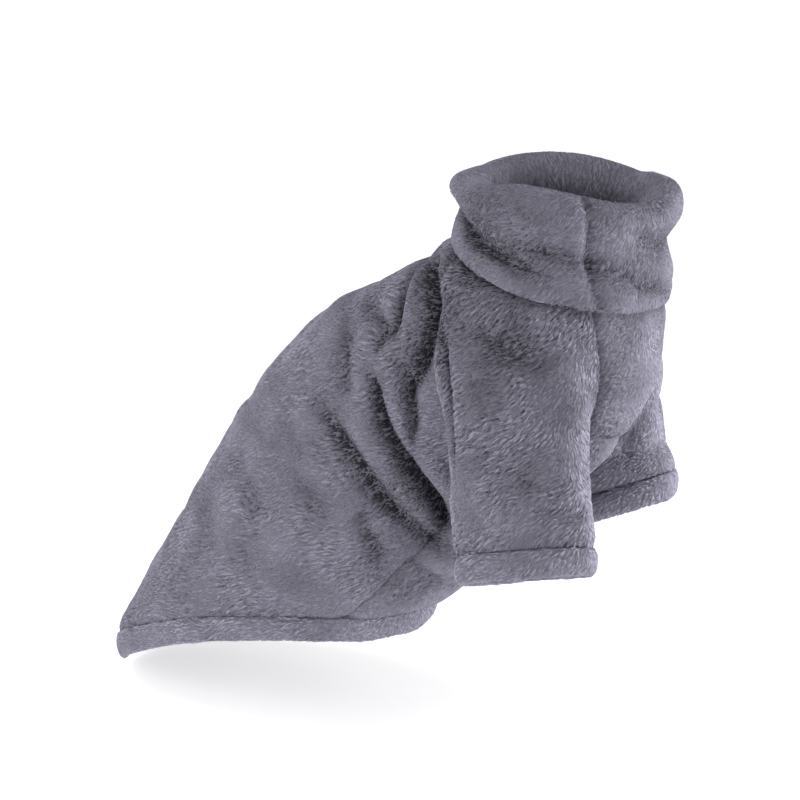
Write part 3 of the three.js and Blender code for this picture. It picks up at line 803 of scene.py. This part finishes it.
RIPPLE_ACROSS, RIPPLE_ALONG = (0.0013, 0.0027), 0.006  # from one ripple to the next
RIPPLE_PEAK, RIPPLE_SEED = 1.4, 4
FAINT, BOLD = 0.25, 0.75  # the ripples where they are faintest, and what the boldest add
# The size and the seed of the waves in which the ripples' strength, length and tone change.
BOLD_WAVES, LENGTH_WAVES, TONE_WAVES = (0.026, 6), (0.012, 3), (0.024, 5)
BOLD_SPREAD, LENGTH_SWING = 0.8, 0.2
LIFT_RIPPLE, LIFT_STRAY, LIFT_RANGE = 0.6, 0.10, (0.05, 1.5)
TONE_RIPPLE, TONE_PATCH, TONE_STRAY = 0.58, 0.14, 0.05
CORNER_PAINTED_SHADE = (-0.18, -0.18, 0.0, 0.18)  # painted shade at a tuft's tail, painted highlight at its tip
SHADE_RANGE = (-0.35, 0.95)  # as far as the painted shade darkens the pile, and its painted highlights lighten it
BODY_NAP = (0, 0.93, -0.36)  # the way in which the pile was brushed
SLEEVE_NAP = (0, 0.78, -0.62)
COLLAR_NAP = (0, 0.80, -0.60)
STANDING_NAP = (0, 0, 1)
NAP_SLOPE, NAP_STRETCH = radians(21), 0.22  # of the nap in the cloth's bump
LEFT_SLEEVE_PAINTED_LIGHT, BAND_PAINTED_LIGHT = 0.2, 0.14  # how much painted light lightens their pile
BAND_OUTSIDE = 7  # the row of a band's section where its pile ends


def ripples(points, nap, seed, count=24):
    """An uneven field from -1 to 1, in ripples that run along the nap."""
    rng = np.random.default_rng(seed)
    across = rng.normal(size=(count, 3))
    ways = unit(across - (across @ nap)[:, None] * nap) / rng.uniform(*RIPPLE_ACROSS, (count, 1))
    ways += nap * rng.normal(size=(count, 1)) / RIPPLE_ALONG
    field = sum(np.sin(2 * pi * (points @ way) + rng.uniform(0, 2 * pi)) for way in ways)
    return np.clip(field / np.sqrt(count), -RIPPLE_PEAK, RIPPLE_PEAK) / RIPPLE_PEAK


def scatter(points, normals, shade, rng, closed):
    """Places picked evenly over a grid of points: each one's point, normal and painted shade.
    closed says if the grid is a ring."""
    grid = np.concatenate([points, normals, shade[..., None]], -1)
    if closed:
        grid = np.concatenate([grid, grid[:1]])
    parts = slice(None, -1), slice(1, None)
    a, b, c, d = (grid[i, j].reshape(-1, grid.shape[-1]) for i in parts for j in parts)
    area = np.linalg.norm(np.cross((d - a)[:, :3], (c - b)[:, :3]), axis=-1) / 2
    count = int(area.sum() * PILE_PER_AREA)
    cell = rng.choice(len(area), count, p=area / area.sum())
    s, t = rng.random((2, count, 1))
    here = mix(mix(a[cell], b[cell], s), mix(c[cell], d[cell], s), t)
    return here[:, :3], unit(here[:, 3:6]), here[:, 6]


def tuft_map(mesh, count):
    """A small cell of the map for each tuft, with a corner of it for each of its faces."""
    across = int(np.ceil(np.sqrt(count)))
    tuft = np.arange(count)
    cell = np.stack([tuft % across, tuft // across], -1)[:, None, None] + 0.5
    angle = np.radians([[0, 90], [90, 180], [180, 270], [270, 360]])
    spread = MAP_SHARE * np.stack([np.cos(angle), np.sin(angle)], -1)
    corners = np.concatenate([np.zeros((4, 1, 2)), spread], 1)
    mesh.uv_layers.new(name="OFBake").data.foreach_set("uv", ((cell + corners) / across).ravel())


def way_out(points, normals, closed):
    """The way out of the pressed cloth itself."""
    if closed:
        across = np.roll(points, -1, 0) - np.roll(points, 1, 0)
    else:
        across = np.gradient(points, axis=0)
    own = unit(np.cross(across, np.gradient(points, axis=1)))
    own *= np.sign((own * normals).sum())
    return unit(mix(normals, own, OWN_SHARE))


def add_pile(name, grid, nap, stand, closed, rng, material):
    """Tufts as slim closed wedges that lie along the nap, each with a ridge and a raised tip,
    all over a grid of the cloth's points, normals and painted shades. stand is how far they stand
    up."""
    points, normals, shade = grid
    place, out, shade = scatter(points, way_out(points, normals, closed), shade, rng, closed)
    count = len(place)
    nap = unit(np.array(nap, float))
    along = unit(nap - (out @ nap)[:, None] * out)
    side = np.cross(out, along)
    wander = swells(place, DRIFT)
    slope = (swells(place + along * DRIFT_STEP, DRIFT) - wander) / DRIFT_STEP
    slope += rng.normal(0, TUFT_STRAY, count)
    buried = np.clip(shade, 0, 1)
    calm = 1 - CREASE_CALM * buried
    bold = FAINT + BOLD * smooth(0.5 + BOLD_SPREAD * waves(place, *BOLD_WAVES))
    ripple = ripples(place + side * wander[:, None], nap, RIPPLE_SEED)
    ripple = min(stand, 1) * bold * calm * ripple
    along = unit(along - side * slope[:, None])
    side = np.cross(out, along)
    length = TUFT_LENGTH * rng.uniform(*LENGTH_SPREAD, count)
    length *= 1 + LENGTH_SWING * waves(place, *LENGTH_WAVES)
    length *= 1 - CREASE_SHORT * buried
    width = TUFT_WIDTH * rng.uniform(*WIDTH_SPREAD, count) * (1 + CREASE_SHORT * buried)
    lift = 0.5 + LIFT_RIPPLE * ripple + rng.normal(0, LIFT_STRAY, count)
    lift = stand * np.clip(lift, *LIFT_RANGE)
    crest, rise, root = TUFT_CREST * (0.5 + lift), TUFT_RISE * lift, np.full(count, -TUFT_ROOT)

    def at(forward, sideways, up):
        return place + along * forward[:, None] + side * sideways[:, None] + out * up[:, None]

    corners = np.stack([
        at(TAIL * length, -width / 2, root),
        at(TAIL * length, width / 2, root),
        at(RIDGE * length, 0 * width, crest),
        at(TIP * length, 0 * width, rise),
    ], 1)
    tone = 0.5 + TONE_RIPPLE * ripple + TONE_PATCH * waves(place, *TONE_WAVES)
    tone += rng.normal(0, TONE_STRAY, count)
    # painted shade and painted highlight from the cloth's shades, and at each tuft's tail and tip,
    # in the tone
    tone -= np.clip(shade, *SHADE_RANGE)
    tones = np.clip(tone[:, None] + calm[:, None] * CORNER_PAINTED_SHADE, 0, 1)
    faces = (4 * np.arange(count)[:, None, None] + TUFT_FACES).reshape(-1, 3)
    mesh = bpy.data.meshes.new(name)
    mesh.vertices.add(4 * count)
    mesh.vertices.foreach_set("co", corners.ravel())
    mesh.loops.add(3 * len(faces))
    mesh.loops.foreach_set("vertex_index", faces.ravel())
    mesh.polygons.add(len(faces))
    mesh.polygons.foreach_set("loop_start", 3 * np.arange(len(faces)))
    mesh.update(calc_edges=True)
    mesh.attributes.new("tone", "FLOAT", "POINT").data.foreach_set("value", tones.ravel())
    tuft_map(mesh, count)
    return add_object(name, mesh, material)


def set_inputs(node, values):
    for socket, value in values.items():
        node.inputs[socket].default_value = value


def plush_nap():
    """The brushed look of flat pile: a height and a tone that run along the nap."""
    group = bpy.data.node_groups.new("plush_nap", "ShaderNodeTree")
    for way, names in (("INPUT", ("Strands", "Patches")), ("OUTPUT", ("Height", "Tone"))):
        for name in names:
            group.interface.new_socket(name, in_out=way, socket_type="NodeSocketFloat")
    nodes, links = group.nodes, group.links
    given, made = nodes.new("NodeGroupInput"), nodes.new("NodeGroupOutput")
    place = nodes.new("ShaderNodeTexCoord")
    along_nap = nodes.new("ShaderNodeMapping")
    set_inputs(along_nap, {"Rotation": (NAP_SLOPE, 0, 0), "Scale": (1, NAP_STRETCH, 1)})
    strands, patches = nodes.new("ShaderNodeTexNoise"), nodes.new("ShaderNodeTexNoise")
    set_inputs(strands, {"Detail": 3})
    set_inputs(patches, {"Detail": 1})
    links.new(place.outputs["Object"], along_nap.inputs["Vector"])
    links.new(along_nap.outputs["Vector"], strands.inputs["Vector"])
    links.new(place.outputs["Object"], patches.inputs["Vector"])
    links.new(given.outputs["Strands"], strands.inputs["Scale"])
    links.new(given.outputs["Patches"], patches.inputs["Scale"])
    blend, share = nodes.new("ShaderNodeMath"), nodes.new("ShaderNodeMath")
    blend.operation, share.operation = "MULTIPLY_ADD", "MULTIPLY"
    set_inputs(blend, {1: 0.5})
    set_inputs(share, {1: 0.5})
    links.new(patches.outputs["Fac"], share.inputs[0])
    links.new(strands.outputs["Fac"], blend.inputs[0])
    links.new(share.outputs["Value"], blend.inputs[2])
    links.new(strands.outputs["Fac"], made.inputs["Height"])
    links.new(blend.outputs["Value"], made.inputs["Tone"])
    return group


def plush(name, dark, light, sheen, nap_look=None):
    """Plush fleece, as cloth with its nap in the bump or as tufts that carry their own tone, with
    painted shade and highlight in it.
    """
    material = bpy.data.materials.new(name)
    material.use_nodes = True
    nodes, links = material.node_tree.nodes, material.node_tree.links
    shader = nodes["Principled BSDF"]
    set_inputs(shader, {
        "Roughness": 0.85,
        "Sheen Weight": sheen,
        "Sheen Roughness": 0.45,
        "Sheen Tint": (0.84, 0.81, 1, 1),
        "Specular IOR Level": 0.2,
    })
    shade = nodes.new("ShaderNodeMix")
    shade.data_type = "RGBA"
    for socket, strength in (("A", dark), ("B", light)):
        set_inputs(shade, {socket: (*[strength * c for c in FLEECE_COLOR], 1)})
    links.new(shade.outputs["Result"], shader.inputs["Base Color"])
    if nap_look is None:
        tone = nodes.new("ShaderNodeAttribute")
        tone.attribute_name = "tone"
        links.new(tone.outputs["Fac"], shade.inputs["Factor"])
        return material
    nap = nodes.new("ShaderNodeGroup")
    nap.node_tree = nap_look
    set_inputs(nap, {"Strands": 950, "Patches": 60})
    bump = nodes.new("ShaderNodeBump")
    set_inputs(bump, {"Strength": 0.8, "Distance": 0.0008})
    links.new(nap.outputs["Tone"], shade.inputs["Factor"])
    links.new(nap.outputs["Height"], bump.inputs["Height"])
    links.new(bump.outputs["Normal"], shader.inputs["Normal"])
    return material


fleece = plush("grey_plush_fleece", dark=0.5, light=1.2, sheen=0.3, nap_look=plush_nap())
pile_fleece = plush("grey_plush_pile", dark=0.12, light=2.05, sheen=0.22)

back = panel(BACK_RAGLAN, BACK_COLUMNS, False)
belly = panel(FRONT_RAGLAN, BELLY_COLUMNS, True)
sleeves = {side: sleeve(side) for side in (-1, 1)}

hem_turn = seam_place(SIDE_SEAM, np.float64(1))[1]
hem_turns = np.concatenate([
    np.linspace(-hem_turn, hem_turn, BACK_COLUMNS + 1),
    np.linspace(hem_turn, 2 * pi - hem_turn, BELLY_COLUMNS + 1)[1:-1],
])
hem_edge, hem_out = form(HEM_AT, hem_turns), form_normal(HEM_AT, hem_turns)
hem_depth = BAND_DEPTH * (1 - TAIL_TUCK * bell(hem_turns / TAIL_WIDE))
hem_start = hem_edge + hem_out * uneven(hem_edge)
rings = {"rear_hem_band": band(hem_start, hem_out, form(1, hem_turns) - hem_edge, hem_depth)}
for node, side in (("cuff_band_right", -1), ("cuff_band_left", 1)):
    edge = sleeve_form(side, 2.0, np.linspace(0, 1, SLEEVE_COLUMNS + 1))[:-1]
    out = sleeves[side][1][-1, :-1]
    rings[node] = band(edge + out * uneven(edge), out, np.full_like(edge, (0, 0, -1)))
rings["collar"], collar_shade = collar()

cloth = {
    "back_panel": add_wall("fleece_back_panel", *back[:2], fleece),
    "belly_panel": add_wall("fleece_belly_panel", *belly[:2], fleece),
    "sleeve_right": add_wall("fleece_sleeve_right", *sleeves[-1][:2], fleece),
    "sleeve_left": add_wall("fleece_sleeve_left", *sleeves[1][:2], fleece),
}
for node, sections in rings.items():
    cloth[node] = add_ring("fleece_" + node, sections, fleece)


def ring_part(sections, shade, first, last):
    """The part of a ring that carries pile, between two rows of its section."""
    part = slice(first * SECTION_STEPS, last * SECTION_STEPS + 1)
    return sections[:, part], ring_normals(sections)[:, part], shade[:, part]


middle = BACK_COLUMNS // 2
back_right = [grid[:, : middle + 1] for grid in back]
back_left = [grid[:, middle:] for grid in back]
# painted light on the left sleeve's pile and on the bands'
left_sleeve = *sleeves[1][:2], sleeves[1][2] - LEFT_SLEEVE_PAINTED_LIGHT
hem, right_cuff, left_cuff = (
    ring_part(rings[node], np.full(rings[node].shape[:2], -BAND_PAINTED_LIGHT), 0, BAND_OUTSIDE)
    for node in ("rear_hem_band", "cuff_band_right", "cuff_band_left")
)
collar_outside = ring_part(rings["collar"], collar_shade, 0, COLLAR_OUTSIDE - 1)
collar_inside = ring_part(rings["collar"], collar_shade, COLLAR_OUTSIDE - 1, COLLAR_INSIDE)
# Each pile's name, then its sheet, its grid, its nap, how far it stands up, and if it's a ring.
PILES = (
    ("pile_back_right", "back_panel", back_right, BODY_NAP, 0.75, False),
    ("pile_back_left", "back_panel", back_left, BODY_NAP, 0.75, False),
    ("pile_belly", "belly_panel", belly, BODY_NAP, 0.5, False),
    ("pile_sleeve_right", "sleeve_right", sleeves[-1], SLEEVE_NAP, 1, False),
    ("pile_sleeve_left", "sleeve_left", left_sleeve, SLEEVE_NAP, 0.65, False),
    ("pile_hem", "rear_hem_band", hem, BODY_NAP, 0.8, True),
    ("pile_cuff_right", "cuff_band_right", right_cuff, SLEEVE_NAP, 0.8, True),
    ("pile_cuff_left", "cuff_band_left", left_cuff, SLEEVE_NAP, 0.8, True),
    ("pile_collar_outside", "collar", collar_outside, COLLAR_NAP, 0.5, True),
    ("pile_collar_inside", "collar", collar_inside, STANDING_NAP, 0.55, True),
)
rng = np.random.default_rng(7)
for node, piece in cloth.items():
    piles = [add_pile(name, *pile, rng, pile_fleece) for name, of, *pile in PILES if of == node]
    for made in (piece, *piles):
        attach(made, "root")
    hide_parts(node)


# ---- the studio ---------------------------------------------------------------------------

CAMERA_AZIMUTH, CAMERA_ELEVATION = radians(-52), radians(15)
CAMERA_DISTANCE = 1.3
CAMERA_LENS = 135
CAMERA_AIM = Vector((-0.0552, 0.0459, -0.0569))
FLOOR_GAP = 0.002  # from the pullover's lowest point down to the floor
FLOOR_SIZE = 12
# Each sun: the way to it, its power and how wide it is, in degrees.
SUNS = {
    "key": ((-0.45, -0.89, 0.09), 1.15, 35),
    "upper": ((0.09, -0.64, 0.77), 0.4, 40),
    "top": ((-0.25, 0.35, 0.90), 0.9, 40),
    "back": ((0.55, 0.76, 0.35), 0.6, 45),
}
# Each lamp: its place, what it is aimed at, its size and its power.
LAMPS = {
    "low_left": ((-0.55, 0.40, 0.05), (-0.05, 0.14, -0.15), 0.5, 2.3),
    "low_front": ((-0.40, -0.72, -0.16), (-0.02, 0.05, -0.16), 0.4, 1.3),
    "low_right": ((0.25, -0.60, -0.05), (0.02, -0.04, -0.08), 0.5, 4.2),
}


def add_camera():
    a, e = CAMERA_AZIMUTH, CAMERA_ELEVATION
    back_way = Vector((sin(a) * cos(e), -cos(a) * cos(e), sin(e)))
    bpy.ops.object.camera_add(location=CAMERA_AIM + CAMERA_DISTANCE * back_way)
    camera = bpy.context.object
    camera.rotation_euler = back_way.to_track_quat("Z", "Y").to_euler()
    camera.data.lens = CAMERA_LENS
    camera.data.clip_start = 0.05
    bpy.context.scene.camera = camera


def add_floor():
    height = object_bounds()[0].z - FLOOR_GAP
    bpy.ops.mesh.primitive_plane_add(size=FLOOR_SIZE, location=(0, 0, height))
    floor = bpy.context.object
    floor.name = "floor"
    paper = bpy.data.materials.new("pale_floor")
    paper.use_nodes = True
    set_inputs(paper.node_tree.nodes["Principled BSDF"], {
        "Base Color": (0.93, 0.93, 0.94, 1),
        "Roughness": 0.9,
        "Emission Color": (1, 1, 1, 1),
        "Emission Strength": 0.5,
    })
    floor.data.materials.append(paper)


def add_light(kind, name, place, way, power):
    """A light that shines from a way. Gives its data, for what its own kind has."""
    bpy.ops.object.light_add(type=kind, location=place)
    made = bpy.context.object
    made.name = name
    made.rotation_euler = Vector(way).to_track_quat("Z", "Y").to_euler()
    made.data.energy = power
    return made.data


def add_lights():
    world = bpy.data.worlds.new("studio")
    world.use_nodes = True
    set_inputs(world.node_tree.nodes["Background"], {"Color": (1, 1, 1, 1), "Strength": 0.15})
    bpy.context.scene.world = world
    for name, (way, power, wide) in SUNS.items():
        add_light("SUN", name, (0, 0, 1), way, power).angle = radians(wide)
    for name, (place, aim, size, power) in LAMPS.items():
        light = add_light("AREA", name, place, Vector(place) - Vector(aim), power)
        light.shape, light.size = "DISK", size


bpy.context.scene.view_settings.view_transform = "Standard"
bpy.ops.object.select_all(action="DESELECT")
add_camera()
add_floor()
add_lights()
